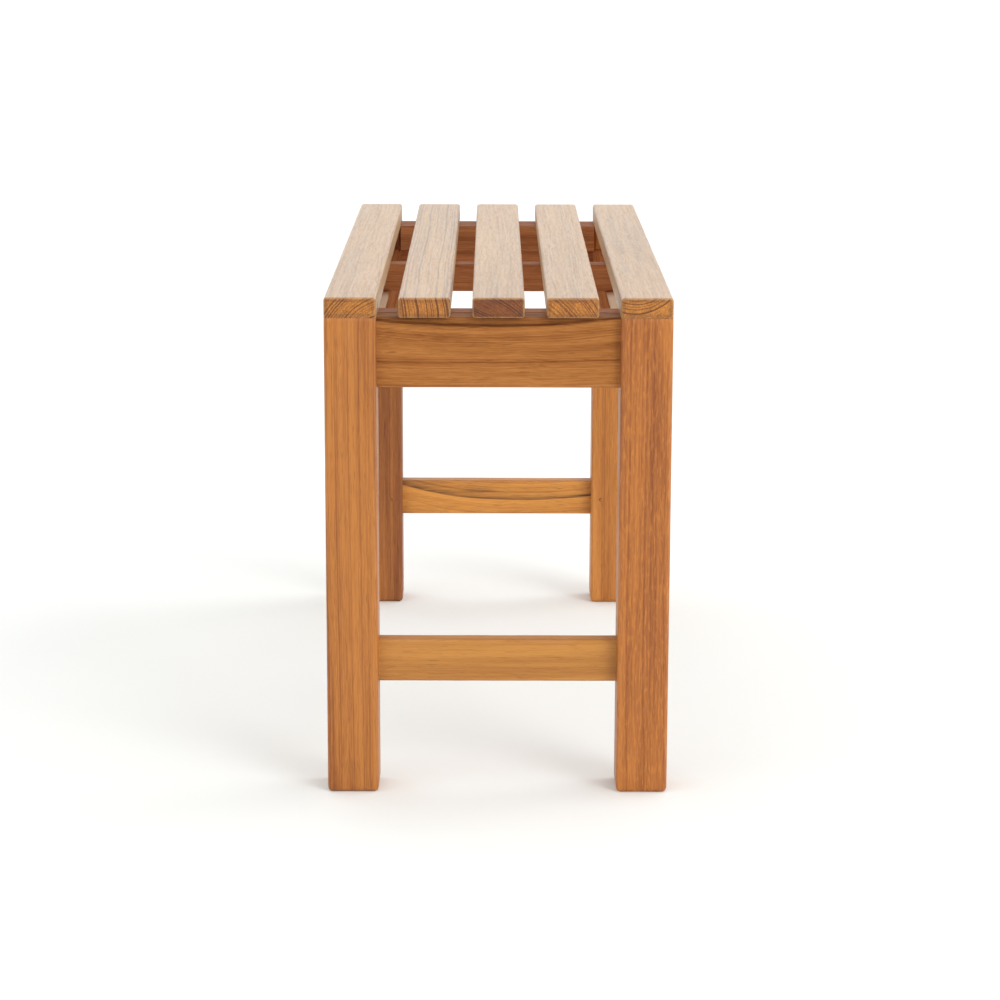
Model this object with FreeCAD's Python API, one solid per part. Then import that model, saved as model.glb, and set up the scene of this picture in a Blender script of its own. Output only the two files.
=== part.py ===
import FreeCAD, Part
import os

from FreeCAD import Placement, Rotation, Vector

# A backless bench in solid teak: five lengthwise slats on a pegged frame of four square legs.
# The outer slats lie on the leg tops. The inner slats lie on the end aprons, on a cleat behind
# each apron and on one batten across the middle, which itself sits on the two side rails.
#
# Millimetres. +X runs along the slats, +Y across the bench, +Z up. The origin is on the floor,
# under the centre of the seat. Left and right are -X and +X, front and back are -Y and +Y.

# Overall sizes
bench_length = 750.0
bench_width = 306.0
seat_height = 450.0

# Seat
slat_count = 5
slat_width = 46.0
slat_thickness = 18.0

# Frame members
leg_size = 46.0
apron_height = 63.0
apron_thickness = 28.0
stretcher_bottom = 100.0
stretcher_height = 39.0
stretcher_thickness = 18.0
side_rail_thickness = 25.0

# Members under the seat
batten_height = 27.0
batten_thickness = 25.0

# Rounded edges
slat_round = 2.5
leg_round = 3.0
rail_round = 2.0

# Mortise and tenon joints
apron_tenon_thickness = 10.0
stretcher_tenon_thickness = 8.0
side_rail_tenon_thickness = 10.0
tenon_shoulder = 6.0
tenon_cover = 24.0
tenon_spacing = 3.0
mortise_side_clearance = 0.1
mortise_end_clearance = 1.0

# Wooden pins across the tenons, and dowels between the leg tops and the outer slats
pin_diameter = 5.0
pin_cover = 10.0
dowel_diameter = 8.0
dowel_depth_in_slat = 11.0
dowel_depth_in_leg = 16.0
dowel_end_clearance = 1.0

# Countersunk screws
screw_diameter = 4.0
screw_head_diameter = 8.0
long_screw_diameter = 5.0
long_screw_head_diameter = 10.0
screw_tip_length = 4.0
screw_tip_diameter = 1.0
screw_tip_cover = 5.0
cleat_screw_tip_cover = 8.0
screw_hole_clearance = 0.2
drill_overrun = 1.0
slat_screw_spread = 24.0
recess_width_share = 0.12
recess_length_share = 0.6
recess_depth_share = 0.22

# Levels and places that follow from the sizes above
half_length = bench_length / 2
half_width = bench_width / 2
slat_bottom = seat_height - slat_thickness
slat_pitch = (bench_width - slat_width) / (slat_count - 1)
apron_bottom = slat_bottom - apron_height
batten_bottom = slat_bottom - batten_height
leg_inner_x = half_length - leg_size
leg_inner_y = half_width - leg_size
leg_centre_x = half_length - leg_size / 2
apron_inner_x = leg_centre_x - apron_thickness / 2
end_tenon_length = leg_size - tenon_cover
side_tenon_length = (leg_size - apron_tenon_thickness) / 2 - tenon_spacing
side_rail_outer_y = leg_inner_y + side_rail_thickness
side_rail_centre_y = leg_inner_y + side_rail_thickness / 2
slat_centres = [slat_pitch * (i - (slat_count - 1) / 2) for i in range(slat_count)]

along_x = Vector(1, 0, 0)
along_y = Vector(0, 1, 0)
along_z = Vector(0, 0, 1)


def block(low, high):
    """A square-edged block between two corners."""
    size = Vector(*high) - Vector(*low)
    return Part.makeBox(size.x, size.y, size.z, Vector(*low))


def edges_along(shape, direction):
    """The straight edges of a block that run along one axis."""
    found = []
    for edge in shape.Edges:
        run = edge.Vertexes[1].Point - edge.Vertexes[0].Point
        if run.cross(direction).Length < run.Length / 1000:
            found.append(edge)
    return found


def flip(shape, axis):
    """The same piece on the other side of the bench's centre plane."""
    return shape.mirror(Vector(0, 0, 0), axis)


def both_ends(shape):
    """A piece and its mirror image at the other end."""
    return [shape, flip(shape, along_x)]


def four_corners(shape):
    """A piece and its mirror images at the other three corners."""
    return [copy for end in both_ends(shape) for copy in (end, flip(end, along_y))]


def cut_all(shape, tools):
    """A piece with every tool that reaches it cut away."""
    reaching = [tool for tool in tools if tool.BoundBox.intersect(shape.BoundBox)]
    if reaching:
        shape = shape.cut(reaching)
    return shape.removeSplitter()


def rod(diameter, start, direction, length):
    """A plain round rod or drilled hole."""
    return Part.makeCylinder(diameter / 2, length, start, direction)


def screw(diameter, head_diameter, length, start, direction):
    """A countersunk screw: its head's flat face is at start and its shank runs along direction."""
    head_depth = (head_diameter - diameter) / 2
    shank_length = length - head_depth - screw_tip_length
    body = Part.makeCone(head_diameter / 2, diameter / 2, head_depth)
    body = body.fuse(Part.makeCylinder(diameter / 2, shank_length, Vector(0, 0, head_depth)))
    tip_start = Vector(0, 0, length - screw_tip_length)
    tip = Part.makeCone(diameter / 2, screw_tip_diameter / 2, screw_tip_length, tip_start)
    body = body.fuse(tip)
    half_arm = head_diameter * recess_length_share / 2
    half_slot = head_diameter * recess_width_share / 2
    depth = head_diameter * recess_depth_share
    arm = block((-half_arm, -half_slot, 0), (half_arm, half_slot, depth))
    cross_arm = block((-half_slot, -half_arm, 0), (half_slot, half_arm, depth))
    body = body.cut([arm, cross_arm]).removeSplitter()
    body.Placement = Placement(start, Rotation(along_z, direction))
    return body


def screw_hole(diameter, head_diameter, length, grip, start, direction):
    """The hole for a screw: countersunk, loose through the grip and tight beyond it."""
    head_depth = (head_diameter - diameter) / 2
    loose = diameter + 2 * screw_hole_clearance
    hole = Part.makeCone(head_diameter / 2, diameter / 2, head_depth)
    hole = hole.fuse(Part.makeCylinder(loose / 2, grip))
    hole = hole.fuse(Part.makeCylinder(diameter / 2, length + drill_overrun))
    hole.Placement = Placement(start, Rotation(along_z, direction))
    return hole


def tenon(thickness, bottom, top, length, centre, start, direction, grow=0.0, extra=0.0):
    """A tenon, or the mortise for it when grow and extra widen and deepen it.

    It is centred on a member's thickness and runs from the member's shoulder into the leg.
    """
    half = thickness / 2 + grow
    low_z = bottom + tenon_shoulder - grow
    high_z = top - tenon_shoulder + grow
    if direction == along_x:
        return block((start, centre - half, low_z), (start + length + extra, centre + half, high_z))
    return block((centre - half, start, low_z), (centre + half, start + length + extra, high_z))


# The three joints at the right-hand back corner, as the values that describe their tenons
corner_joints = {
    "apron": (apron_tenon_thickness, apron_bottom, slat_bottom,
              end_tenon_length, leg_centre_x, leg_inner_y, along_y),
    "stretcher": (stretcher_tenon_thickness, stretcher_bottom, stretcher_bottom + stretcher_height,
                  end_tenon_length, leg_centre_x, leg_inner_y, along_y),
    "side_rail": (side_rail_tenon_thickness, apron_bottom, batten_bottom,
                  side_tenon_length, side_rail_centre_y, leg_inner_x, along_x),
}


def corner_pins(extra):
    """The pins at one corner, one across each tenon, driven from the leg's two inner faces.

    The apron's pin is in the part of its tenon that stands above the side rail.
    """
    end_pin_y = leg_inner_y + end_tenon_length / 2
    end_pin_length = leg_size - pin_cover
    apron_pin_z = (batten_bottom + slat_bottom - tenon_shoulder) / 2
    stretcher_pin_z = stretcher_bottom + stretcher_height / 2
    side_pin_x = leg_inner_x + side_tenon_length / 2
    side_pin_z = (apron_bottom + batten_bottom) / 2
    side_pin_length = side_rail_thickness
    return [
        rod(pin_diameter, Vector(leg_inner_x, end_pin_y, apron_pin_z), along_x, end_pin_length + extra),
        rod(pin_diameter, Vector(leg_inner_x, end_pin_y, stretcher_pin_z), along_x,
            end_pin_length + extra),
        rod(pin_diameter, Vector(side_pin_x, leg_inner_y, side_pin_z), along_y,
            side_pin_length + extra),
    ]


def corner_dowel(extra):
    """The dowel from one leg's top into the slat above it, beyond the ends of the tenons."""
    start = Vector(leg_centre_x, half_width - tenon_cover / 2, slat_bottom - dowel_depth_in_leg - extra)
    length = dowel_depth_in_leg + dowel_depth_in_slat + 2 * extra
    return rod(dowel_diameter, start, along_z, length)


def slat_screw_places():
    """Where the screws into the inner slats start, on the undersides of the cleats and batten."""
    cleat_x = apron_inner_x - batten_thickness / 2
    places = []
    for x in (-cleat_x, 0.0, cleat_x):
        for y in slat_centres[1:-1]:
            places.append(Vector(x, y - slat_screw_spread / 2, batten_bottom))
            places.append(Vector(x, y + slat_screw_spread / 2, batten_bottom))
    return places


slat_screw_length = batten_height + slat_thickness - screw_tip_cover
rail_screw_length = apron_height + slat_thickness - screw_tip_cover
cleat_screw_length = batten_thickness + apron_thickness - cleat_screw_tip_cover
cleat_face_x = apron_inner_x - batten_thickness
cleat_screw_z = batten_bottom + batten_height / 2

slat_screws = [
    screw(screw_diameter, screw_head_diameter, slat_screw_length, place, along_z)
    for place in slat_screw_places()
]
slat_screw_holes = [
    screw_hole(screw_diameter, screw_head_diameter, slat_screw_length, batten_height, place, along_z)
    for place in slat_screw_places()
]

# One long screw on each side goes up through the side rail and the batten into the outer slat.
rail_screws = []
rail_screw_holes = []
for y in (-side_rail_centre_y, side_rail_centre_y):
    foot = Vector(0, y, apron_bottom)
    rail_screws.append(
        screw(long_screw_diameter, long_screw_head_diameter, rail_screw_length, foot, along_z))
    rail_screw_holes.append(
        screw_hole(long_screw_diameter, long_screw_head_diameter, rail_screw_length,
                   apron_height, foot, along_z))

cleat_screws = []
cleat_screw_holes = []
for y in slat_centres[1:-1]:
    place = Vector(cleat_face_x, y, cleat_screw_z)
    cleat_screws += both_ends(
        screw(screw_diameter, screw_head_diameter, cleat_screw_length, place, along_x))
    cleat_screw_holes += both_ends(
        screw_hole(screw_diameter, screw_head_diameter, cleat_screw_length, batten_thickness,
                   place, along_x))

pins = [copy for pin in corner_pins(0.0) for copy in four_corners(pin)]
pin_holes = [copy for pin in corner_pins(dowel_end_clearance) for copy in four_corners(pin)]
dowels = four_corners(corner_dowel(0.0))
dowel_holes = four_corners(corner_dowel(dowel_end_clearance))


def make_leg():
    """The right-hand back leg, with its three mortises."""
    leg = block((leg_inner_x, leg_inner_y, 0), (half_length, half_width, slat_bottom))
    foot_edges = [edge for edge in leg.Edges if edge.BoundBox.ZMax < leg_round]
    leg = leg.makeFillet(leg_round, edges_along(leg, along_z) + foot_edges)
    mortises = [
        tenon(*joint, grow=mortise_side_clearance, extra=mortise_end_clearance)
        for joint in corner_joints.values()
    ]
    return cut_all(leg, mortises + pin_holes + dowel_holes)


def make_cross_member(joint, thickness, bottom, top):
    """A member between the two right-hand legs, centred on them, with a tenon at each end."""
    low = (leg_centre_x - thickness / 2, -leg_inner_y, bottom)
    high = (leg_centre_x + thickness / 2, leg_inner_y, top)
    member = block(low, high)
    member = member.makeFillet(rail_round, edges_along(member, along_y))
    back_tenon = tenon(*corner_joints[joint])
    member = member.fuse([back_tenon, flip(back_tenon, along_y)])
    return cut_all(member, pin_holes + cleat_screw_holes)


def make_side_rail():
    """The back side rail: its inner face is in line with the legs' and it carries the batten."""
    rail = block((-leg_inner_x, leg_inner_y, apron_bottom), (leg_inner_x, side_rail_outer_y, batten_bottom))
    rail = rail.makeFillet(rail_round, edges_along(rail, along_x))
    rail = rail.fuse(both_ends(tenon(*corner_joints["side_rail"])))
    return cut_all(rail, pin_holes + rail_screw_holes)


def make_cleat():
    """The cleat that carries the inner slats' ends, against the right-hand apron's inner face."""
    low = (cleat_face_x, -leg_inner_y, batten_bottom)
    high = (apron_inner_x, leg_inner_y, slat_bottom)
    cleat = block(low, high)
    lower_edges = [e for e in edges_along(cleat, along_y) if e.BoundBox.ZMax < slat_bottom]
    cleat = cleat.makeFillet(rail_round, [e for e in lower_edges if e.BoundBox.XMax < apron_inner_x])
    return cut_all(cleat, slat_screw_holes + cleat_screw_holes)


def make_batten():
    """The batten across the middle, from the outer face of one side rail to that of the other."""
    half = batten_thickness / 2
    batten = block((-half, -side_rail_outer_y, batten_bottom), (half, side_rail_outer_y, slat_bottom))
    batten = batten.makeFillet(rail_round, edges_along(batten, along_y))
    return cut_all(batten, slat_screw_holes + rail_screw_holes)


def make_slat(centre):
    """A seat slat with all of its edges rounded, drilled from below."""
    half = slat_width / 2
    slat = block((-half_length, centre - half, slat_bottom), (half_length, centre + half, seat_height))
    slat = slat.makeFillet(slat_round, slat.Edges)
    return cut_all(slat, slat_screw_holes + rail_screw_holes + dowel_holes)


def save(node, solids):
    """Write one node's STEP file and say what it holds."""
    shape = solids[0] if len(solids) == 1 else Part.makeCompound(solids)
    shape.exportStep("parts/" + node + ".step")
    box = shape.BoundBox
    print("%-22s %2d solid(s)  %6.1f x %6.1f x %6.1f mm  valid %s"
          % (node, len(shape.Solids), box.XLength, box.YLength, box.ZLength, shape.isValid()))


os.makedirs("parts", exist_ok=True)

corner_names = ("back_right", "front_right", "back_left", "front_left")
for name, leg in zip(corner_names, four_corners(make_leg())):
    save("leg_" + name, [leg])

apron = make_cross_member("apron", apron_thickness, apron_bottom, slat_bottom)
stretcher = make_cross_member(
    "stretcher", stretcher_thickness, stretcher_bottom, stretcher_bottom + stretcher_height)
end_pieces = {"end_apron": apron, "end_stretcher": stretcher, "end_cleat": make_cleat()}
for name, piece in end_pieces.items():
    for side, copy in zip(("right", "left"), both_ends(piece)):
        save(name + "_" + side, [copy])

side_rail = make_side_rail()
save("side_rail_back", [side_rail])
save("side_rail_front", [flip(side_rail, along_y)])
save("middle_batten", [make_batten()])

for number, centre in enumerate(slat_centres, start=1):
    save("slat_%d" % number, [make_slat(centre)])

save("slat_screws", slat_screws)
save("rail_screws", rail_screws)
save("cleat_screws", cleat_screws)
save("tenon_pins", pins)
save("slat_dowels", dowels)
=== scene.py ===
# %% [markdown]
# # A backless teak bench
# Five slats lie lengthwise on a pegged frame: four square legs, two end aprons, two lower end
# rails and two side rails. The joints, the screws and every size are already drawn in the packed
# model. This lesson only dresses it: softly worn bars of wood, a solid grain that runs through
# each one, and plain studio light. Everything is in metres, with +X along the slats and Z up.

import math

import bmesh
import bpy
from mathutils import Euler, Matrix, Vector, noise


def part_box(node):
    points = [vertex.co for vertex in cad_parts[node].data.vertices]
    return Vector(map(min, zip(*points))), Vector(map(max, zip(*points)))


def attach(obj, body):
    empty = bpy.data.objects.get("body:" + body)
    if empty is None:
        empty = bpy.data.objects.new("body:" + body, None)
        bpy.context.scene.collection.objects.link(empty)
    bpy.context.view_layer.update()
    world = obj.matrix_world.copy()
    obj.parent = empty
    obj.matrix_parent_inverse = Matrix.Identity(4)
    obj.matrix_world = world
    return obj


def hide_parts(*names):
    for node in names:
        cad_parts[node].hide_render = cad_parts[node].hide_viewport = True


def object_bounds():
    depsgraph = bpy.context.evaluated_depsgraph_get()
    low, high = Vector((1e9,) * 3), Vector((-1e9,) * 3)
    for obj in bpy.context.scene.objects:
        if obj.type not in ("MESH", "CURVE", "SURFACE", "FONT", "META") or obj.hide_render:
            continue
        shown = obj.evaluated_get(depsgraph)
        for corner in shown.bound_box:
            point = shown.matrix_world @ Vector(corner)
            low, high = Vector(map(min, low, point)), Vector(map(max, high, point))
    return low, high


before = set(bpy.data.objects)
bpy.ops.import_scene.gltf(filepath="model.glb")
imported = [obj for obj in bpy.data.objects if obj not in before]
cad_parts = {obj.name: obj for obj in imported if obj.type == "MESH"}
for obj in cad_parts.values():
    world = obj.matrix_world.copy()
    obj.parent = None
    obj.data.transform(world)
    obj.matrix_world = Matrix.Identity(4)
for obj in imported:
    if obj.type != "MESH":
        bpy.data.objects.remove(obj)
cad_low, cad_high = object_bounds()
MM = 0.001
print("frame", [round(v, 3) for v in (*cad_low, *cad_high)])

# %% [markdown]
# ## The camera
# A bench like this is shown end on, from a little above the seat. A wide lens close by would splay
# its legs. A long lens far away keeps them nearly upright and draws the slats together gently. The
# lens has no shift, so that every other view stays centred too. The camera's place is measured back
# from the near end of the seat, sideways from its middle and up from its top, with turns in radians.

# %% Place the camera
LENS = 103.95
SENSOR_WIDTH = 36.0
CAMERA_BACK = 2.4955
CAMERA_SIDE = -0.0053
CAMERA_RISE = 0.3552
CAMERA_PITCH = 0.2112
CAMERA_TURN = -0.0028
CAMERA_LEAN = 0.0028
camera_data = bpy.data.cameras.new("camera")
camera_data.sensor_width = SENSOR_WIDTH
camera_data.lens = LENS
camera = bpy.data.objects.new("camera", camera_data)
camera.location = (cad_high.x + CAMERA_BACK, CAMERA_SIDE, cad_high.z + CAMERA_RISE)
aim = Euler((math.pi / 2 - CAMERA_PITCH, 0.0, math.pi / 2 + CAMERA_TURN)).to_matrix()
camera.rotation_euler = (aim @ Matrix.Rotation(CAMERA_LEAN, 3, "Z")).to_euler()
bpy.context.collection.objects.link(camera)
bpy.context.scene.camera = camera
print("camera at", [round(v, 3) for v in camera.location])

# %% [markdown]
# ## One rounded bar of wood
# Every member was planed square and then had its arrises rounded over and sanded. A bump in the
# finish could only hint at that, so a cube stretched to the bar's box gets a real rounded bevel.
# Cuts across and along it then give the surface enough points to carry a little unevenness. A face
# that beds against its neighbour is named in square, and its edges stay sharp, as a tight joint
# looks.

# %% The rounded bar
BEVEL_STEPS = 4
LOOP_STEPS = (1.5 * MM, 4 * MM, 8 * MM)
LOOP_SPACING = 12 * MM
SAME_WAY = 0.9


def cut_across(bm, axis, place):
    """Adds one loop round the bar, where the plane across that axis meets it."""
    point = Vector()
    point[axis] = place
    normal = Vector()
    normal[axis] = 1.0
    whole = bm.verts[:] + bm.edges[:] + bm.faces[:]
    bmesh.ops.bisect_plane(bm, geom=whole, plane_co=point, plane_no=normal)


def bar_mesh(low, high, along, radius, square):
    """A box with rounded arrises, except round its square faces, cut into loops near its edges."""
    bm = bmesh.new()
    bmesh.ops.create_cube(bm, size=1.0)
    bmesh.ops.scale(bm, vec=high - low, verts=bm.verts)
    bmesh.ops.translate(bm, vec=(low + high) / 2, verts=bm.verts)
    bedded = [f for f in bm.faces if any(f.normal.dot(Vector(way)) > SAME_WAY for way in square)]
    edges = [e for e in bm.edges if not any(f in bedded for f in e.link_faces)]
    bmesh.ops.bevel(
        bm, geom=edges, offset=radius, offset_type="OFFSET", segments=BEVEL_STEPS,
        profile=0.5, affect="EDGES", material=-1, clamp_overlap=True,
    )
    for axis in range(3):
        for step in LOOP_STEPS:
            cut_across(bm, axis, low[axis] + radius + step)
            cut_across(bm, axis, high[axis] - radius - step)
        if axis == along:
            length = high[axis] - low[axis]
            count = int(length / LOOP_SPACING)
            for number in range(1, count):
                cut_across(bm, axis, low[axis] + length * number / count)
    return bm


print("bars are cut into loops every", round(LOOP_SPACING / MM), "mm")

# %% [markdown]
# ## Wear
# Sanding never takes exactly the same amount off along a corner, and a foot that is dragged over
# paving loses its sharp rim first. A displacement texture would move flat faces too, so each point
# near an arris is moved one by one instead: smooth noise pulls it inwards by a fraction of a
# millimetre. Nothing ever moves outwards, so the bar stays inside its box.

# %% Worn arrises and feet
ARRIS_REACH = 7 * MM
WEAR_DEPTH = 0.35 * MM
WEAR_WAVES = 38.0
SEED_STEPS = (3.7, 1.3, 5.1)
FOOT_REACH = 6 * MM


def arris_share(point, low, high):
    """1 on an edge of the bar's box, falling to 0 at the arris reach."""
    gaps = sorted(min(point[i] - low[i], high[i] - point[i]) for i in range(3))
    edge_distance = gaps[1]
    return max(0.0, 1.0 - edge_distance / ARRIS_REACH)


def wear(bm, low, high, along, seed, foot_depth):
    """Pulls points near the arrises in towards the bar's middle line, and rounds a standing foot."""
    middle = (low + high) / 2
    shift = Vector([seed * step for step in SEED_STEPS])
    for vert in bm.verts:
        unevenness = 0.5 + 0.5 * noise.noise(vert.co * WEAR_WAVES + shift)
        pull = WEAR_DEPTH * arris_share(vert.co, low, high) * unevenness
        inward = middle - vert.co
        inward[along] = 0.0
        lowness = max(0.0, 1.0 - (vert.co.z - low.z) / FOOT_REACH)
        vert.co += inward.normalized() * (pull + foot_depth * lowness * lowness)


print("wear reaches", round(ARRIS_REACH / MM), "mm from an arris, up to", WEAR_DEPTH / MM, "mm deep")

# %% [markdown]
# ## From mesh to piece
# A finished bar takes the place of one member of the frame. Before it is worn, each of its points
# stores how near it is to an arris, because the finish later rubs the arrises paler. Weighted
# normals keep the wide faces flat to the eye while the rounded arrises between them shade evenly.

# %% A bar that stands for a member
SHARP_ANGLE = math.radians(50)


def bar(name, node, along, radius, seed, square=(), low=None, high=None, foot_depth=0.0):
    """A worn bar that stands for one node of the frame, in its box unless corners are given."""
    box_low, box_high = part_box(node)
    low = Vector(box_low) if low is None else low
    high = Vector(box_high) if high is None else high
    bm = bar_mesh(low, high, along, radius, square)
    layer = bm.verts.layers.float.new("arris")
    for vert in bm.verts:
        vert[layer] = arris_share(vert.co, low, high)
    wear(bm, low, high, along, seed, foot_depth)
    for edge in bm.edges:
        edge.smooth = edge.calc_face_angle(0.0) < SHARP_ANGLE
    mesh = bpy.data.meshes.new(name)
    bm.to_mesh(mesh)
    bm.free()
    for polygon in mesh.polygons:
        polygon.use_smooth = True
    piece = bpy.data.objects.new(name, mesh)
    bpy.context.collection.objects.link(piece)
    piece.modifiers.new("even_shading", "WEIGHTED_NORMAL").keep_sharp = True
    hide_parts(node)
    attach(piece, "root")
    return piece


# %% [markdown]
# ## The slats
# The seat is five straight boards with open gaps between them, so that rain runs off. Both ends of
# each board show. All the edges of the three inner boards are rounded. The two outer boards lie on
# the legs, so their undersides stay square there and no dark groove opens above a leg.

# %% Make the slats
SLAT_ROUND = 2.6 * MM
SLAT_COUNT = sum(name.startswith("slat_") and name[5:].isdigit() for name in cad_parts)
DOWN = (0, 0, -1)
slats = []
for number in range(1, SLAT_COUNT + 1):
    square = [DOWN] if number in (1, SLAT_COUNT) else []
    slats.append(
        bar(f"seat_slat_{number}", f"slat_{number}", 0, SLAT_ROUND, number, square)
    )
print("slats", [piece.name for piece in slats])

# %% [markdown]
# ## The legs
# Each leg is one square post. The outer slats hide its top, so that stays square. The foot stands
# bare on the floor, without a glide, and its rim is worn rounder than the other edges.

# %% Make the legs
LEG_ROUND = 3.2 * MM
LEG_SEED = 11
FOOT_WEAR = 1.4 * MM
UP = (0, 0, 1)
LEG_NODES = ("leg_front_right", "leg_back_right", "leg_front_left", "leg_back_left")
legs = {}
for seed, node in enumerate(LEG_NODES, start=LEG_SEED):
    legs[node] = bar(
        node + "_post", node, 2, LEG_ROUND, seed, [UP], foot_depth=FOOT_WEAR
    )
leg_inner_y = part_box("leg_back_right")[0][1]
print("legs", list(legs), "clear width between them", round(2 * leg_inner_y / MM, 1), "mm")

# %% [markdown]
# ## Aprons and lower rails
# The end aprons carry the inner slats, and a thinner rail ties each pair of legs lower down. In
# the frame their boxes include the tenons, which are out of sight. Each bar here runs from leg to
# leg only, and its square ends go a hair into the legs, so that no light shows at the shoulder.

# %% Make the end members
RAIL_ROUND = 2.2 * MM
RAIL_SEED = 21
SHOULDER_OVERLAP = 1.0 * MM
BOTH_SIDES = [(0, 1, 0), (0, -1, 0)]
RAIL_NODES = ("end_apron_right", "end_apron_left", "end_stretcher_right", "end_stretcher_left")
cross_rails = {}
for seed, node in enumerate(RAIL_NODES, start=RAIL_SEED):
    low, high = (Vector(corner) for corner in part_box(node))
    low.y = -leg_inner_y - SHOULDER_OVERLAP
    high.y = leg_inner_y + SHOULDER_OVERLAP
    cross_rails[node] = bar(
        node + "_bar", node, 1, RAIL_ROUND, seed, BOTH_SIDES, low, high
    )
print("end members", list(cross_rails))

# %% [markdown]
# ## Where the pegs go
# A wooden pin goes through each tenon from the leg's inner side. The frame keeps all of them in one
# node, so their places are read from it: points that are linked by edges belong to one pin, and
# the box round them gives its place and its size.

# %% Find the separate solids of a node
WELD_DISTANCE = 0.01 * MM


def solid_boxes(node):
    """The box of each separate solid in a node."""
    bm = bmesh.new()
    bm.from_mesh(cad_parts[node].data)
    bmesh.ops.remove_doubles(bm, verts=bm.verts, dist=WELD_DISTANCE)
    seen = set()
    boxes = []
    for start in bm.verts:
        if start in seen:
            continue
        seen.add(start)
        solid = []
        waiting = [start]
        while waiting:
            vert = waiting.pop()
            solid.append(vert.co.copy())
            linked = {edge.other_vert(vert) for edge in vert.link_edges} - seen
            seen |= linked
            waiting.extend(linked)
        low = Vector([min(point[i] for point in solid) for i in range(3)])
        high = Vector([max(point[i] for point in solid) for i in range(3)])
        boxes.append((low, high))
    bm.free()
    return boxes


peg_places = solid_boxes("tenon_pins")
print("pegs", len(peg_places), "of", round(min(peg_places[0][1] - peg_places[0][0]) / MM, 1), "mm")

# %% [markdown]
# ## The pegs
# Each pin was cut off nearly flush and sanded, which leaves a faint round of end grain standing a
# third of a millimetre proud of the leg. A flat disc painted on the leg would vanish at a low
# angle, so each pin is a cylinder with a rounded rim.

# %% Make the pegs
PEG_PROUD = 0.3 * MM
PEG_RIM = 0.5 * MM
PEG_SIDES = 28
PEG_RIM_STEPS = 3


def peg_mesh(low, high):
    """A round pin whose rounded end stands proud on the side that faces the bench's middle."""
    size = high - low
    along = max(range(3), key=lambda i: size[i])
    sign = -1.0 if (low[along] + high[along]) > 0 else 1.0
    radius = min(size) / 2
    bm = bmesh.new()
    bmesh.ops.create_cone(
        bm, segments=PEG_SIDES, radius1=radius, radius2=radius,
        depth=size[along] + PEG_PROUD, cap_ends=True,
    )
    rim = [e for e in bm.edges if all(v.co.z > 0 for v in e.verts)]
    bmesh.ops.bevel(
        bm, geom=rim, offset=PEG_RIM, offset_type="OFFSET", segments=PEG_RIM_STEPS,
        profile=0.5, affect="EDGES", material=-1,
    )
    outward = Vector([sign if i == along else 0 for i in range(3)])
    turn = Vector(UP).rotation_difference(outward).to_matrix()
    bmesh.ops.rotate(bm, verts=bm.verts, cent=(0, 0, 0), matrix=turn)
    bmesh.ops.translate(bm, verts=bm.verts, vec=(low + high) / 2 + outward * PEG_PROUD / 2)
    mesh = bpy.data.meshes.new("one_peg")
    bm.to_mesh(mesh)
    bm.free()
    return mesh


pegs_bm = bmesh.new()
for low, high in peg_places:
    one_peg = peg_mesh(low, high)
    pegs_bm.from_mesh(one_peg)
    bpy.data.meshes.remove(one_peg)
pegs_mesh = bpy.data.meshes.new("pegs")
pegs_bm.to_mesh(pegs_mesh)
pegs_bm.free()
for polygon in pegs_mesh.polygons:
    polygon.use_smooth = True
pegs = bpy.data.objects.new("pegs", pegs_mesh)
bpy.context.collection.objects.link(pegs)
pegs.modifiers.new("even_shading", "WEIGHTED_NORMAL")
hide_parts("tenon_pins")
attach(pegs, "root")
print("peg faces", len(pegs_mesh.polygons))

# %% [markdown]
# ## Members kept from the frame
# The cleats, the middle batten, the side rails and all the screws already have their true shape,
# with countersunk holes and cross recesses, so they stay. Their meshes are loose triangles. A weld
# joins these, a split keeps the sharp corners crisp, and weighted normals make the rounded arrises
# shade evenly. The dowels inside the legs stay too, and need nothing because they never show.

# %% Smooth the kept members
CRISP_ANGLE = math.radians(40)
KEPT_WOOD = (
    "end_cleat_right", "end_cleat_left", "middle_batten", "side_rail_front", "side_rail_back",
)
KEPT_METAL = ("slat_screws", "rail_screws", "cleat_screws")
for node in KEPT_WOOD + KEPT_METAL:
    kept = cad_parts[node]
    kept.modifiers.new("weld", "WELD").merge_threshold = WELD_DISTANCE
    kept.modifiers.new("crisp_corners", "EDGE_SPLIT").split_angle = CRISP_ANGLE
    kept.modifiers.new("even_shading", "WEIGHTED_NORMAL")
    for polygon in kept.data.polygons:
        polygon.use_smooth = True
print("kept from the frame", KEPT_WOOD + KEPT_METAL)

# %% [markdown]
# ## Building node trees
# A finish is a tree of small nodes. This helper adds a node, fills in its sockets and joins the
# ones that come from other nodes, so that each finish below reads as a list of what it does.

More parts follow.
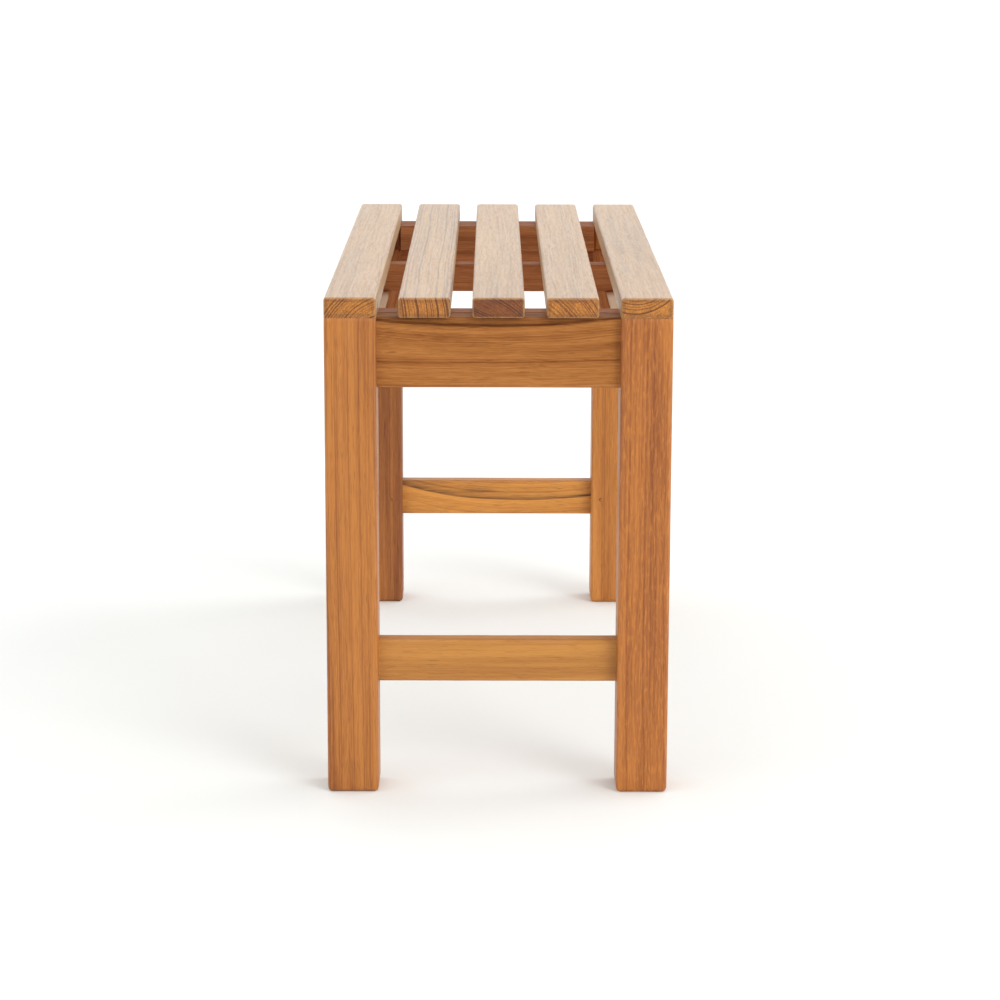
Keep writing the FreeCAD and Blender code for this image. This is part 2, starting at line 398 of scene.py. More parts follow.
# %% A helper for node trees
class Tree:
    """Adds nodes to one shader tree and joins them up."""

    def __init__(self, tree):
        self.tree = tree
        tree.nodes.clear()

    def add(self, kind, inputs=None, **settings):
        """One node with its settings, and its sockets set to values or joined to other sockets."""
        made = self.tree.nodes.new(kind)
        for key, value in settings.items():
            setattr(made, key, value)
        for key, value in (inputs or {}).items():
            self.put(made.inputs[key], value)
        return made

    def put(self, socket, value):
        """Joins a socket to another, or gives it a plain value."""
        if isinstance(value, bpy.types.NodeSocket):
            self.tree.links.new(value, socket)
        else:
            socket.default_value = value

    def math(self, operation, *values, clamp=False):
        """The result of one sum."""
        made = self.add("ShaderNodeMath", operation=operation, use_clamp=clamp)
        for socket, value in zip(made.inputs, values):
            self.put(socket, value)
        return made.outputs[0]

    def product(self, first, *others):
        """All the values multiplied together."""
        for value in others:
            first = self.math("MULTIPLY", first, value)
        return first

    def total(self, first, *others):
        """All the values added together."""
        for value in others:
            first = self.math("ADD", first, value)
        return first

    def clamped(self, value):
        """A value kept between 0 and 1."""
        return self.math("ADD", value, 0.0, clamp=True)

    def vector(self, operation, *values):
        """The result of one vector sum. LENGTH gives a number."""
        made = self.add("ShaderNodeVectorMath", operation=operation)
        for socket, value in zip(made.inputs, values):
            self.put(socket, value)
        return made.outputs["Value" if operation == "LENGTH" else "Vector"]

    def noise(self, point, waves, detail=2.0, roughness=0.55):
        """Soft noise from 0 to 1, with so many waves per metre along each axis."""
        stretched = self.vector("MULTIPLY", point, waves)
        made = self.add(
            "ShaderNodeTexNoise",
            {"Vector": stretched, "Scale": 1.0, "Detail": detail, "Roughness": roughness},
        )
        return made.outputs["Fac"]

    def swing(self, point, waves, detail=2.0, roughness=0.55):
        """The same noise, swinging to both sides of zero."""
        return self.math("SUBTRACT", self.noise(point, waves, detail, roughness), 0.5)

    def ramp(self, value, low, high, to_low=0.0, to_high=1.0):
        """A smooth step from to_low to to_high as value goes from low to high."""
        made = self.add(
            "ShaderNodeMapRange",
            {"Value": value, "From Min": low, "From Max": high, "To Min": to_low, "To Max": to_high},
            interpolation_type="SMOOTHSTEP",
        )
        return made.outputs["Result"]

    def mix(self, amount, first, second, blend="MIX"):
        """Two colours mixed."""
        made = self.add("ShaderNodeMix", data_type="RGBA", blend_type=blend)
        for index, value in ((0, amount), (6, first), (7, second)):
            self.put(made.inputs[index], value)
        return made.outputs[2]


# %% [markdown]
# ## Groups that finishes share
# All the boards are the same timber, so what they share is built once as a node group. Each board
# then sets the group's inputs to its own values. An input that has no value here is always joined.
# While a group is built, t is its tree, i holds its inputs and o its outputs.

# %% A helper for groups
def new_group(name, inputs, outputs):
    """An empty shader group with its sockets. Inputs are (name, kind, value)."""
    group = bpy.data.node_groups.new(name, "ShaderNodeTree")
    tree = Tree(group)
    for socket_name, kind, value in inputs:
        socket = group.interface.new_socket(
            socket_name, in_out="INPUT", socket_type="NodeSocket" + kind
        )
        if value is not None:
            socket.default_value = value
    for socket_name, kind in outputs:
        group.interface.new_socket(
            socket_name, in_out="OUTPUT", socket_type="NodeSocket" + kind
        )
    return group, tree, tree.add("NodeGroupInput").outputs, tree.add("NodeGroupOutput").inputs


# %% [markdown]
# ## The figure of teak
# Teak is golden brown. Its growth rings are a few millimetres wide, each ending in a thin darker
# line. Along the grain run long fibre streaks, and the open pores show as short fine dashes. Some
# boards have a wandering chocolate stripe. A flat picture of grain would look wrong at the ends,
# so the pattern is solid: distance from a bent pith line gives the rings, and a saw cut through
# that solid gives straight lines on one face, arches on the next and arcs at the end, all joined
# up. The group works in a space where X follows the grain and the pith is at the origin.

# %% The figure group and its sockets
figure, t, i, o = new_group(
    "teak_figure",
    [
        ("Point", "Vector", None),
        ("Ring Width", "Float", 2.8 * MM),
        ("Ring Contrast", "Float", 0.5),
        ("Fibre", "Float", 0.5),
        ("Pores", "Float", 0.5),
        ("Fleck", "Float", 0.0),
        ("Band", "Float", 0.5),
        ("Tone", "Float", 1.5),
        ("End", "Float", 0.0),
        ("Bow", "Float", 0.0),
        ("Stripe Place", "Float", 1.0),
        ("Stripe", "Float", 0.0),
        ("Pale", "Color", (0.60, 0.26, 0.07, 1)),
        ("Deep", "Color", (0.36, 0.115, 0.025, 1)),
        ("Dark", "Color", (0.10, 0.028, 0.008, 1)),
    ],
    [("Color", "Color"), ("Roughness", "Float"), ("Height", "Float"), ("Film", "Float")],
)
print("figure sockets", [socket.name for socket in i if socket.name])

# %% [markdown]
# ### A pith line that wanders
# No trunk is straight, and a straight pith line would give every board ruled stripes. Slow noise
# moves the middle of the rings by up to five millimetres on its way along the board. Bow bends it
# into an arch, for the boards whose figure sags between their ends, and past the chocolate stripe
# the arch flattens to a quarter.

# %% Bend the pith line
DRIFT_UP = 10 * MM
DRIFT_SIDE = 9 * MM
UP_WAVES = (3.0, 9.0, 9.0)
SIDE_WAVES = (2.3, 7.0, 12.0)
FLATTENS_OVER = 25 * MM
FLATTENS_TO = 0.25
parts = t.add("ShaderNodeSeparateXYZ", {0: i["Point"]}).outputs
beyond = t.math("SUBTRACT", t.math("ABSOLUTE", parts["Z"]), i["Stripe Place"])
flattening = t.ramp(beyond, 0.0, FLATTENS_OVER, 1.0, FLATTENS_TO)
arch = t.product(parts["X"], parts["X"], i["Bow"], flattening)
drift_up = t.product(t.swing(i["Point"], UP_WAVES, 1.0), DRIFT_UP)
drift_side = t.product(t.swing(i["Point"], SIDE_WAVES, 1.0), DRIFT_SIDE)
from_pith = t.add(
    "ShaderNodeCombineXYZ",
    {"Y": t.total(parts["Y"], drift_side), "Z": t.total(parts["Z"], drift_up, arch)},
).outputs[0]
along_pith = t.add("ShaderNodeCombineXYZ", {"X": parts["X"]}).outputs[0]
bent_point = t.vector("ADD", from_pith, along_pith)
print("figure group", len(figure.nodes), "nodes after the pith line")

# %% [markdown]
# ### Growth rings
# Each year's ring starts pale and ends in a thin line of dense late wood. The distance from the
# pith, divided by the width of a ring, counts the years: the whole number says which year it is,
# and the fraction how far on in it. Noise along the radius makes some years fat and others thin,
# and a random number for each year makes some of them faint. On a sawn end the lines look stronger.

# %% Count the rings
WAVER = 1.6 * MM
WAVER_WAVES = (10.0, 90.0, 90.0)
WEATHER_WAVES = 70.0
WEATHER_RINGS = 5.0
LATE_STARTS = 0.30
LATE_PEAKS = 0.90
FAINT_YEAR = 0.10
END_GAIN = 1.5
waver = t.product(t.swing(i["Point"], WAVER_WAVES), WAVER)
radius = t.total(t.vector("LENGTH", from_pith), waver)
climate = t.add("ShaderNodeCombineXYZ", {"X": t.product(radius, WEATHER_WAVES)}).outputs[0]
uneven = t.product(t.noise(climate, (1.0, 1.0, 1.0), 3.0), WEATHER_RINGS)
ring = t.total(t.math("DIVIDE", radius, i["Ring Width"]), uneven)
season = t.math("FRACT", ring)
year = t.add("ShaderNodeTexWhiteNoise", {"W": t.math("FLOOR", ring)}, noise_dimensions="1D")
late = t.product(
    t.ramp(season, LATE_STARTS, LATE_PEAKS),
    t.ramp(season, 1.0, LATE_PEAKS),
    t.ramp(year.outputs["Value"], 0.0, 1.0, FAINT_YEAR, 1.0),
    t.total(t.product(i["End"], END_GAIN), 1.0),
)
print("figure group", len(figure.nodes), "nodes after the rings")

# %% [markdown]
# ### Fibres, pores and flecks
# Between the rings the wood is a bundle of tubes. Coarse fibres and finer threads are noise drawn
# out along the grain, and a slow sway keeps them from running dead straight. Tone shifts whole
# patches, and bands follow the bent pith line. The pores are the open ends of the tubes, mostly in
# the early wood. Flecks are the short pale marks where a cut meets the rays.

# %% Draw out the fibres
SWAY = 7 * MM
SWAY_WAVES = (18.0, 25.0, 25.0)
FIBRE_WAVES = (7.0, 430.0, 430.0)
THREAD_WAVES = (34.0, 900.0, 900.0)
TONE_WAVES = (2.4, 26.0, 26.0)
BAND_WAVES = (3.0, 150.0, 150.0)
PORE_WAVES = (70.0, 1700.0, 1700.0)
FLECK_WAVES = (90.0, 520.0, 300.0)
LATE_PORES = 0.25
sway = t.product(t.swing(i["Point"], SWAY_WAVES, 1.0), SWAY)
sideways = t.add("ShaderNodeCombineXYZ", {"Y": sway, "Z": sway}).outputs[0]
swayed = t.vector("ADD", i["Point"], sideways)
fibre = t.swing(swayed, FIBRE_WAVES, 3.0, 0.6)
thread = t.swing(swayed, THREAD_WAVES, 2.0, 0.6)
tone = t.swing(i["Point"], TONE_WAVES, 3.0)
band = t.swing(bent_point, BAND_WAVES, 2.0, 0.5)
early = t.ramp(season, 0.75, 0.15, LATE_PORES, 1.0)
tubes = t.ramp(t.noise(i["Point"], PORE_WAVES, 1.0), 0.60, 0.68)
pore = t.clamped(t.product(tubes, early, i["Pores"]))
rays = t.ramp(t.noise(i["Point"], FLECK_WAVES, 2.0), 0.50, 0.68)
fleck = t.product(rays, i["Fleck"])
print("figure group", len(figure.nodes), "nodes after the fibres")

# %% [markdown]
# ### Colour
# Everything so far makes the wood a bit deeper or a bit paler, so the effects are added up into
# one depth that runs from the board's pale colour to its deep one. On a sawn end, late wood goes
# darker still.

# %% Colour the wood
MID_DEPTH = 0.32
THREAD_SHARE = 2.4
BAND_SHARE = 3.0
SAWN_DARK = 0.15
depth = t.total(
    t.product(late, i["Ring Contrast"]),
    t.product(tone, i["Tone"]),
    t.product(fibre, i["Fibre"]),
    t.product(thread, t.product(i["Fibre"], THREAD_SHARE)),
    t.product(band, t.product(i["Band"], BAND_SHARE)),
    MID_DEPTH,
)
depth = t.math("SUBTRACT", depth, fleck, clamp=True)
colour = t.mix(depth, i["Pale"], i["Deep"])
colour = t.mix(t.product(late, i["End"], SAWN_DARK), colour, i["Dark"])
print("figure group", len(figure.nodes), "nodes after the colour")

# %% [markdown]
# ### The chocolate stripe
# Some teak carries a dark mineral stripe along one ring. It is a crisp line at a set distance from
# the pith, with a paler patchy stain on its inner side, and the fibres break it up. The pores go
# over it last, because they are dark in any part of the wood.

# %% Draw the stripe
STRIPE_WANDER = 6 * MM
PORE_DARK = 0.75
away = t.total(radius, t.product(tone, STRIPE_WANDER))
away = t.math("SUBTRACT", away, i["Stripe Place"])
line = t.product(t.ramp(away, -3.6 * MM, -0.2 * MM), t.ramp(away, 1.8 * MM, 0.6 * MM))
patchy = t.ramp(t.noise(i["Point"], (9.0, 30.0, 30.0), 2.0), 0.38, 0.62, 0.35, 1.5)
stain = t.product(
    t.ramp(away, -18 * MM, 0.5 * MM, 0.20, 0.55), patchy, t.ramp(away, 2.2 * MM, 0.2 * MM)
)
broken_up = t.total(0.75, t.product(fibre, 1.6))
stripe = t.clamped(t.product(t.math("MAXIMUM", line, stain), broken_up, i["Stripe"]))
colour = t.mix(stripe, colour, i["Dark"])
colour = t.mix(t.product(pore, PORE_DARK), colour, i["Dark"])
t.put(o["Color"], colour)
print("figure group", len(figure.nodes), "nodes after the stripe")

# %% [markdown]
# ### The surface of the wood
# Late wood is dense, so it sands smoother and stands a little higher than the rest. Pores are small
# pits that scatter light. Where the grain is open it drinks the oil, and the film on top of the
# wood is thin there, so the group also puts out how much film is left.

# %% Roughness, height and film
PLAIN_ROUGHNESS = 0.46
PLAIN_THINNING = 0.15
rough = t.total(t.product(late, -0.05), t.product(pore, 0.2), t.product(fibre, 0.14))
t.put(o["Roughness"], t.math("ADD", rough, PLAIN_ROUGHNESS, clamp=True))
t.put(
    o["Height"],
    t.total(
        t.product(late, 0.35), t.product(pore, -1.0), t.product(thread, 0.7), t.product(fibre, 0.5)
    ),
)
open_grain = t.total(
    t.product(late, i["Ring Contrast"], 0.45),
    t.product(pore, 0.35),
    t.product(thread, 0.5),
    t.product(fibre, 1.2),
    PLAIN_THINNING,
)
t.put(o["Film"], t.math("SUBTRACT", 1.0, open_grain, clamp=True))
print("figure group", len(figure.nodes), "nodes in all")

# %% [markdown]
# ## Arrises, end grain and painted light
# Hands and sandpaper polish the corners until they are a little paler and smoother. Sawn ends drink
# more oil and look a shade deeper, with a fine speckle and a darker rim. The group also paints light:
# it mixes a top towards a pale colour where light falls on it. Every wooden finish shares this, so
# it is one group. It reads the nearness to an arris that each bar carries, and the direction the
# surface faces.

# %% The handling group
handling, t, i, o = new_group(
    "teak_handling",
    [
        ("Color", "Color", (0.5, 0.2, 0.06, 1)),
        ("Roughness", "Float", 0.45),
        ("Point", "Vector", None),
        ("Arris", "Float", 0.0),
        ("End", "Float", 0.0),
        ("End Tint", "Color", (0.9, 0.8, 0.7, 1)),
        ("Painted Light", "Float", 0.0),
    ],
    [("Color", "Color"), ("Roughness", "Float")],
)
WHITE = (1, 1, 1, 1)
RIM_TINT = (0.45, 0.33, 0.25, 1)
RIM_SHARE = 0.42
SPECKLE = 0.18
RUB_SHARE = 0.35
# The pale colour of painted light. It stands for light that falls on a top.
PAINTED_LIGHT_COLOUR = (0.93, 0.80, 0.62, 1)
broken = t.noise(i["Point"], (30.0, 160.0, 160.0), 3.0)
rub = t.product(t.ramp(i["Arris"], 0.45, 0.95), t.ramp(broken, 0.30, 0.62))
rim = t.product(t.ramp(i["Arris"], 0.30, 0.62), t.product(i["End"], RIM_SHARE))
tint = t.mix(i["End"], WHITE, i["End Tint"])
tint = t.mix(rim, tint, RIM_TINT)
colour = t.mix(1.0, i["Color"], tint, "MULTIPLY")
speckle = t.noise(i["Point"], (900.0, 1500.0, 1500.0), 2.0)
dust = t.product(i["End"], t.ramp(speckle, 0.42, 0.62, -SPECKLE, SPECKLE))
colour = t.add("ShaderNodeHueSaturation", {"Value": t.total(dust, 1.0), "Color": colour}).outputs[0]
paler = t.add("ShaderNodeHueSaturation", {"Saturation": 0.9, "Value": 1.30, "Color": colour})
colour = t.mix(t.product(rub, RUB_SHARE), colour, paler.outputs[0])
# Painted light: the colour is mixed towards a pale one where the mask says light falls.
t.put(o["Color"], t.mix(i["Painted Light"], colour, PAINTED_LIGHT_COLOUR))
smoother = t.math("SUBTRACT", i["Roughness"], t.product(rub, 0.08))
t.put(o["Roughness"], t.math("ADD", smoother, t.product(i["End"], 0.10), clamp=True))
print("handling group", len(handling.nodes), "nodes")

# %% [markdown]
# ## Tones and films
# No two boards match. Each tone is three colours: the pale wood between the rings, the deep wood in
# them, and the dark of pores and stripe. The films say how the surface meets light. Legs and lower
# rails are lightly oiled. The seat tops have dried under a thin film, and their loose fibres catch
# the light as a pale sheen. Wood under the seat is matt, because it is sheltered and never rubbed.

# %% Tones and films
GOLD = ((0.45, 0.162, 0.026, 1), (0.235, 0.062, 0.0080, 1), (0.060, 0.015, 0.003, 1))
RUSSET = ((0.46, 0.155, 0.024, 1), (0.22, 0.055, 0.0072, 1), (0.055, 0.012, 0.003, 1))
DUSKY = ((0.355, 0.118, 0.020, 1), (0.165, 0.041, 0.0060, 1), (0.045, 0.011, 0.003, 1))
AMBER = ((0.55, 0.212, 0.038, 1), (0.32, 0.098, 0.0135, 1), (0.060, 0.014, 0.003, 1))
COCOA = ((0.40, 0.160, 0.045, 1), (0.190, 0.058, 0.0145, 1), (0.045, 0.011, 0.004, 1))
HONEY = ((0.49, 0.208, 0.036, 1), (0.29, 0.100, 0.0130, 1), (0.060, 0.014, 0.003, 1))
BRIGHT = ((0.64, 0.270, 0.048, 1), (0.38, 0.132, 0.0180, 1), (0.045, 0.010, 0.003, 1))
# SHADED is the shaded copy of the teak colour. It is greyer, and is given to wood that lies in shade
# under the seat.
SHADED = ((0.47, 0.185, 0.073, 1), (0.24, 0.077, 0.027, 1), (0.070, 0.020, 0.008, 1))
BROWN = ((0.27, 0.083, 0.017, 1), (0.13, 0.032, 0.0070, 1), (0.040, 0.010, 0.003, 1))
WEATHERED = ((0.43, 0.200, 0.045, 1), (0.15, 0.050, 0.0090, 1), (0.045, 0.014, 0.004, 1))
OILED = {"Coat Weight": 0.10, "Coat Roughness": 0.35, "Specular IOR Level": 0.38}
DRY_TOP = {
    "Coat Weight": 0.88, "Coat Roughness": 0.34, "Specular IOR Level": 0.4,
    "Sheen Weight": 0.28, "Sheen Roughness": 0.45, "Sheen Tint": (1.0, 0.90, 0.70, 1),
}
SHELTERED = {"Specular IOR Level": 0.03}
DEEP_SHADE = {"Specular IOR Level": 0.0}
print("films", {"oiled": OILED, "dry top": DRY_TOP, "sheltered": SHELTERED, "deep shade": DEEP_SHADE})

# %% [markdown]
# ## Grain space
# Each board was cut at its own place in the log, so each has its own pith line. A mapping node
# turns the board so that its grain runs along X, and moves it until the pith is at the origin. A
# board without a bow starts anywhere along the log. A bowed one has to keep the lowest point of
# its arch where it belongs, so its start is worked out from its own middle.

# %% A board's place in the log
GRAIN_TURN = {0: (0.0, 0.0, 0.0), 1: (0.0, 0.0, -math.pi / 2), 2: (0.0, math.pi / 2, 0.0)}
LOG_STEP = 1.37


def grain_point(m, place, piece, along, pith, seed, arch_middle):
    """Object coordinates turned into grain space. pith is how far the pith lies off the middle."""
    low, high = (Vector(corner) for corner in (piece.bound_box[0], piece.bound_box[6]))
    x, y, z = (low + high) / 2
    middle = {0: Vector((x, y, z)), 1: Vector((y, -x, z)), 2: Vector((z, y, -x))}[along]
    start = seed * LOG_STEP if arch_middle is None else -middle.x - arch_middle
    offset = (start, -middle.y - pith[0], -middle.z - pith[1])
    return m.add(
        "ShaderNodeMapping", {"Vector": place, "Location": offset, "Rotation": GRAIN_TURN[along]}
    ).outputs[0]


print("grain turns for boards along", list(GRAIN_TURN))

# %% [markdown]
# ## The film on a board
# The oil film is broken wherever the grain is open, so it is a mask and not one number. Sawn ends
# drink it all and have none left. A dry seat board keeps its film where it faces up, and only three
# tenths of it on its sides.

# %% How much film is left
SIDE_FILM = 0.3


def film_left(m, film, wood, end, upward):
    """The coat weight over a board."""
    sealed = m.product(m.ramp(end, 0.0, 1.0, film["Coat Weight"], 0.0), wood.outputs["Film"])
    if film is DRY_TOP:
        sealed = m.product(sealed, m.ramp(upward, 0.05, 0.5, SIDE_FILM, 1.0))
    return sealed


print("film on the sides of a dry top", SIDE_FILM)

# %% [markdown]
# ## One finish for each board
# The figure group gives the wood, the handling group wears it, and one shader in the material
# shows it. A surface is end grain where it faces along the board. A board can also be given painted
# light: the upward face of its near half fades towards a pale colour, a painted pool of light.

# %% The teak finish
END_TINT = (1.20, 0.98, 0.58, 1)
GRAIN_BUMP = 0.35
GRAIN_DEPTH = 0.25 * MM
PAINTED_LIGHT_FADE = 60 * MM


def teak(piece, name, along, pith, tones, seed, film,
         end_tint=END_TINT, painted_light=0.0, arch_middle=None, **look):
    """Gives one board its own finish. look sets inputs of the figure group, with _ for a space."""
    material = bpy.data.materials.new(name)
    material.use_nodes = True
    m = Tree(material.node_tree)
    place = m.add("ShaderNodeTexCoord").outputs["Object"]
    point = grain_point(m, place, piece, along, pith, seed, arch_middle)
    normal = m.add("ShaderNodeNewGeometry").outputs["Normal"]
    facing = m.add("ShaderNodeSeparateXYZ", {0: normal}).outputs
    end = m.ramp(m.math("ABSOLUTE", facing[along]), 0.75, 0.97)
    wood = m.add("ShaderNodeGroup", node_tree=figure)
    m.put(wood.inputs["Point"], point)
    m.put(wood.inputs["End"], end)
    for key, value in zip(("Pale", "Deep", "Dark"), tones):
        m.put(wood.inputs[key], value)
    for key, value in look.items():
        m.put(wood.inputs[key.replace("_", " ")], value)
    hands = m.add("ShaderNodeGroup", node_tree=handling)
    for key, value in (
        ("Color", wood.outputs["Color"]),
        ("Roughness", wood.outputs["Roughness"]),
        ("Point", point),
        ("Arris", m.add("ShaderNodeAttribute", attribute_name="arris").outputs["Fac"]),
        ("End", end),
        ("End Tint", end_tint),
    ):
        m.put(hands.inputs[key], value)
    # Painted light: the upward face of the near half fades towards a pale colour, a painted pool of
    # light.
    if painted_light:
        near_half = m.ramp(m.add("ShaderNodeSeparateXYZ", {0: place}).outputs["X"], 0.0, PAINTED_LIGHT_FADE)
        on_top = m.ramp(facing["Z"], 0.7, 0.95, 0.0, painted_light)
        m.put(hands.inputs["Painted Light"], m.product(on_top, near_half))
    bump = m.add(
        "ShaderNodeBump",
        {"Height": wood.outputs["Height"], "Strength": GRAIN_BUMP, "Distance": GRAIN_DEPTH},
    )
    skin = m.add(
        "ShaderNodeBsdfPrincipled",
        {"Base Color": hands.outputs["Color"], "Roughness": hands.outputs["Roughness"],
         "Normal": bump.outputs[0], **film},
    )
    if "Coat Weight" in film:
        m.put(skin.inputs["Coat Weight"], film_left(m, film, wood, end, facing["Z"]))
    m.add("ShaderNodeOutputMaterial", {"Surface": skin.outputs[0]})
    piece.data.materials.clear()
    piece.data.materials.append(material)


print("end grain tint", END_TINT[:3])

# %% [markdown]
# ## Finishing the slats
# The end of each slat shows how it was sawn. Rings that stand upright there give straight lines
# along the top, and rings that lie flat give arches. The pith distances below set that, board by
# board. The middle slat's ends have drunk the most oil.

# %% Slat finishes
SLAT_CUTS = (
    ((0.040, -0.045), {"Ring_Contrast": 0.55, "Ring_Width": 2.4 * MM}),
    ((-0.150, -0.020), {"Ring_Contrast": 0.8, "Ring_Width": 2.4 * MM}),
    ((-0.060, -0.090), {"Ring_Contrast": 0.5, "end_tint": (0.62, 0.38, 0.25, 1)}),
    ((-0.050, -0.045), {"Ring_Contrast": 0.6, "Fleck": 0.35}),
    ((-0.008, 0.036), {"Ring_Contrast": 0.35, "Ring_Width": 2.4 * MM}),
)
for number, (piece, (pith, look)) in enumerate(zip(slats, SLAT_CUTS), start=1):
    teak(
        piece, f"teak_slat_{number}", 0, pith, WEATHERED, number, DRY_TOP,
        Band=0.2, Tone=0.8, **look,
    )
print("slat finishes", len(SLAT_CUTS))

# %% [markdown]
# ## Finishing the legs
# Legs are cut with the rings square to a face, so they show fine straight lines. The near right one
# has ray flecks. The far left one has a darker tone, painted shade where the seat shades it, and the
# far right one a brighter tone, painted light where the lamps reach it.

# %% Leg finishes
LEG_CUTS = {
    "leg_front_right": ((-0.160, 0.030), GOLD, {"Ring_Contrast": 0.55}),
    "leg_back_right": ((0.120, 0.040), RUSSET, {"Ring_Contrast": 0.5, "Fleck": 0.38}),
    # Painted shade: the far left leg's darker tone.
    "leg_front_left": ((0.090, -0.050), DUSKY, {}),
    # Painted light: the far right leg's brighter tone.
    "leg_back_left": ((-0.110, 0.030), AMBER, {}),
}
for seed, (node, (pith, tones, look)) in enumerate(LEG_CUTS.items(), start=LEG_SEED):
    teak(legs[node], "teak_" + node, 2, pith, tones, seed, OILED, **look)
print("leg finishes", len(LEG_CUTS))

# %% [markdown]
# ## Finishing the end members
# The near apron has a chocolate stripe that sags between the legs, and the far lower rail has a
# dark curved figure. The aprons sit under the ends of the slats, so they stay matt.

# %% Apron and lower rail finishes
RAIL_CUTS = {
    "end_apron_right": ((0.02, 0.10), COCOA, SHELTERED, {
        "Bow": -0.65, "arch_middle": 0.0, "Stripe_Place": 84.5 * MM, "Stripe": 0.95,
    }),
    # The far apron lies in shade and takes the shaded copy of the teak colour.
    "end_apron_left": ((0.03, -0.12), SHADED, SHELTERED, {}),
    "end_stretcher_right": ((0.02, -0.10), HONEY, OILED, {"Ring_Contrast": 0.25, "Fibre": 0.25}),
    "end_stretcher_left": ((0.01, 0.045), BRIGHT, OILED, {
        "Bow": -0.95, "arch_middle": 32 * MM, "Stripe_Place": 50 * MM, "Stripe": 0.95,
    }),
}
for seed, (node, (pith, tones, film, look)) in enumerate(RAIL_CUTS.items(), start=RAIL_SEED):
    teak(cross_rails[node], "teak_" + node, 1, pith, tones, seed, film, **look)
print("end member finishes", len(RAIL_CUTS))

# %% [markdown]
# ## Finishing the wood under the seat
# Cleats, batten and side rails share one tone. It is the shaded copy of the teak colour, made greyer
# for wood that lies in shade under the seat. Light falls through the outer gaps onto the side rails'
# tops, and it is painted there: the tops are painted paler towards the near end. The pegs show end
# grain, and a light tint keeps them from standing out on the legs. The dowels never show, and are
# plain brown.

# %% Finishes under the seat
KEPT_SEED = 31
PEG_SEED = 41
DOWEL_SEED = 42
RAIL_PAINTED_LIGHT = 0.9
KEPT_PITH = (0.02, 0.09)
ROUND_PITH = (0.01, 0.01)
PEG_TINT = (0.92, 0.90, 0.88, 1)
for seed, node in enumerate(KEPT_WOOD, start=KEPT_SEED):
    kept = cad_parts[node]
    # The side rails' tops get painted light, paler towards the near end.
    if node.startswith("side_rail"):
        teak(kept, "teak_" + node, 0, KEPT_PITH, SHADED, seed, DEEP_SHADE, painted_light=RAIL_PAINTED_LIGHT)
    else:
        teak(kept, "teak_" + node, 1, KEPT_PITH, SHADED, seed, SHELTERED)
teak(pegs, "teak_pegs", 0, ROUND_PITH, RUSSET, PEG_SEED, OILED, end_tint=PEG_TINT)
teak(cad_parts["slat_dowels"], "teak_slat_dowels", 2, ROUND_PITH, BROWN, DOWEL_SEED, SHELTERED)
print("finishes under the seat", len(KEPT_WOOD) + 2)

# %% [markdown]
# ## Stainless screws
# The screws that hold the seat from below are stainless steel, dulled a little by damp. Patchy
# noise greys the metal and blurs its shine, and a finer noise stands for the marks of the lathe.

# %% The steel finish
CLEAN_STEEL = (0.62, 0.61, 0.59, 1)
DULL_STEEL = (0.40, 0.39, 0.37, 1)
LATHE_DEPTH = 0.05 * MM
steel = bpy.data.materials.new("stainless_screws")
steel.use_nodes = True
m = Tree(steel.node_tree)
place = m.add("ShaderNodeTexCoord").outputs["Object"]
dull = m.noise(place, (260.0, 260.0, 260.0), 3.0)
lathe = m.noise(place, (3000.0, 3000.0, 400.0), 1.0)
marks = m.add("ShaderNodeBump", {"Height": lathe, "Strength": 0.3, "Distance": LATHE_DEPTH})
metal = m.add(
    "ShaderNodeBsdfPrincipled",
    {"Base Color": m.mix(m.ramp(dull, 0.35, 0.7), CLEAN_STEEL, DULL_STEEL), "Metallic": 1.0,
     "Roughness": m.ramp(dull, 0.3, 0.75, 0.26, 0.5), "Normal": marks.outputs[0]},
)
m.add("ShaderNodeOutputMaterial", {"Surface": metal.outputs[0]})
for node in KEPT_METAL:
    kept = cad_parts[node]
    kept.data.materials.clear()
    kept.data.materials.append(steel)
print("steel on", KEPT_METAL)

# %% [markdown]
# ## The floor
# A white studio floor runs out to the horizon. It belongs to the stage and not to the bench. A
# faint mottle keeps it from looking like empty space, and it is matt, so the bench isn't mirrored.

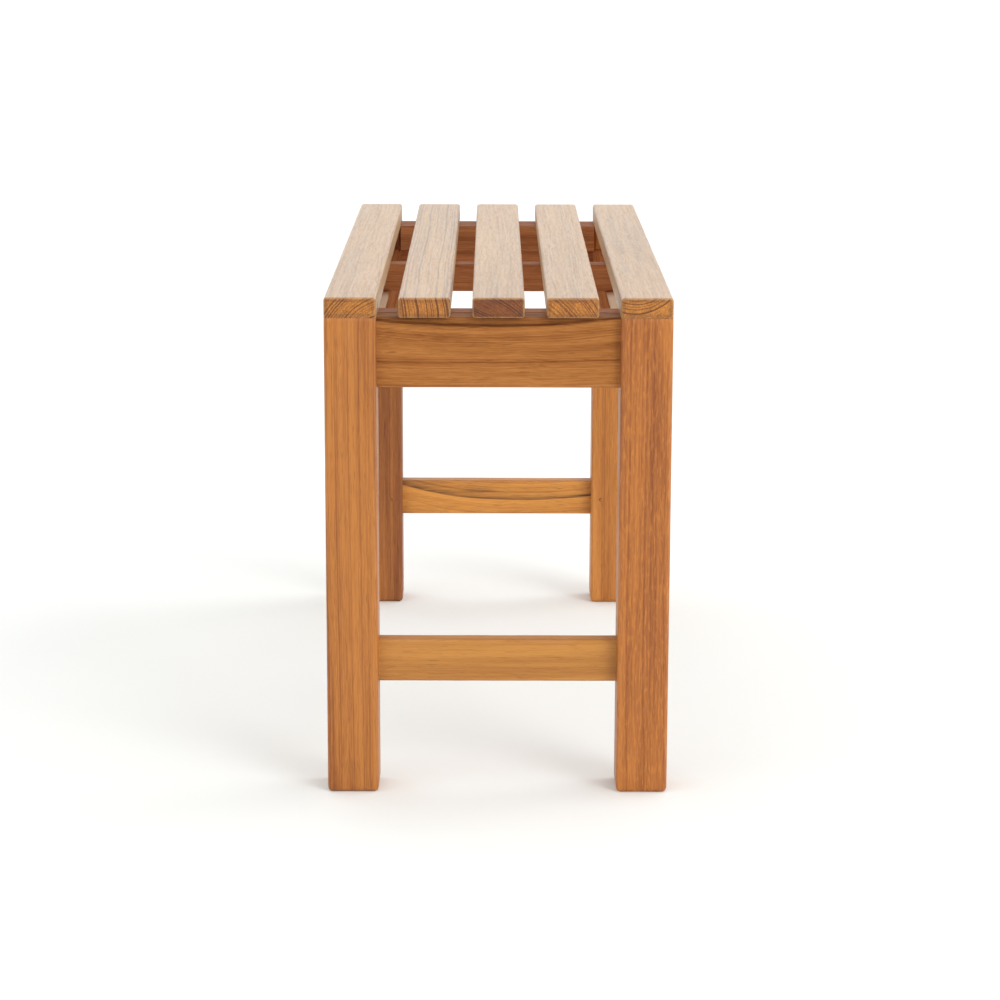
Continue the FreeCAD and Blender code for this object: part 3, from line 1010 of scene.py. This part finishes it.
# %% Lay the floor
FLOOR_HALF = 45.0
PAPER = (0.880, 0.90, 0.882, 1)
PAPER_SHADE = (0.866, 0.885, 0.866, 1)
floor_bm = bmesh.new()
bmesh.ops.create_grid(floor_bm, x_segments=2, y_segments=2, size=FLOOR_HALF)
floor_mesh = bpy.data.meshes.new("studio_floor")
floor_bm.to_mesh(floor_mesh)
floor_bm.free()
floor = bpy.data.objects.new("studio_floor", floor_mesh)
bpy.context.collection.objects.link(floor)
white_floor = bpy.data.materials.new("white_floor")
white_floor.use_nodes = True
m = Tree(white_floor.node_tree)
mottle = m.noise(m.add("ShaderNodeTexCoord").outputs["Object"], (3.0, 3.0, 3.0), 2.0)
matt = m.add(
    "ShaderNodeBsdfPrincipled",
    {"Base Color": m.mix(mottle, PAPER, PAPER_SHADE), "Roughness": 0.9, "Specular IOR Level": 0.1},
)
m.add("ShaderNodeOutputMaterial", {"Surface": matt.outputs[0]})
floor_mesh.materials.append(white_floor)
print("floor", round(2 * FLOOR_HALF), "m wide")

# %% [markdown]
# ## The light
# An even white sky, a touch brighter overhead, gives most of the light. Two broad lamps from the
# right, one ahead of the bench and one behind it, throw a pair of soft shadows to the left. They
# are suns with a wide angle, because a sun lights near and far legs alike.

# %% Light the bench
SKY = 1.10
HORIZON = 1.02
LAMP_SPREAD = 30.0
LAMP_DISTANCE = 3.0
world = bpy.data.worlds.new("studio")
world.use_nodes = True
w = Tree(world.node_tree)
direction = w.add("ShaderNodeSeparateXYZ", {0: w.add("ShaderNodeTexCoord").outputs["Generated"]})
glow = w.ramp(direction.outputs["Z"], 0.10, 0.65, HORIZON, SKY)
sky = w.add("ShaderNodeBackground", {"Color": WHITE, "Strength": glow})
w.add("ShaderNodeOutputWorld", {"Surface": sky.outputs[0]})
bpy.context.scene.world = world


def broad_lamp(name, turn, rise, strength):
    """A broad lamp. turn is its direction round the bench from +X and rise its height, in degrees."""
    data = bpy.data.lights.new(name, "SUN")
    data.energy = strength
    data.angle = math.radians(LAMP_SPREAD)
    lamp = bpy.data.objects.new(name, data)
    level = math.cos(math.radians(rise))
    towards = Vector((
        math.cos(math.radians(turn)) * level,
        math.sin(math.radians(turn)) * level,
        math.sin(math.radians(rise)),
    ))
    lamp.rotation_euler = towards.to_track_quat("Z", "Y").to_euler()
    lamp.location = towards * LAMP_DISTANCE
    bpy.context.collection.objects.link(lamp)


broad_lamp("lamp_front_right", 40.0, 22.0, 1.12)
broad_lamp("lamp_back_right", 110.0, 35.0, 0.47)
bpy.context.scene.view_settings.view_transform = "Standard"
bpy.context.scene.view_settings.look = "None"
print("lights set, sky", SKY, "horizon", HORIZON)
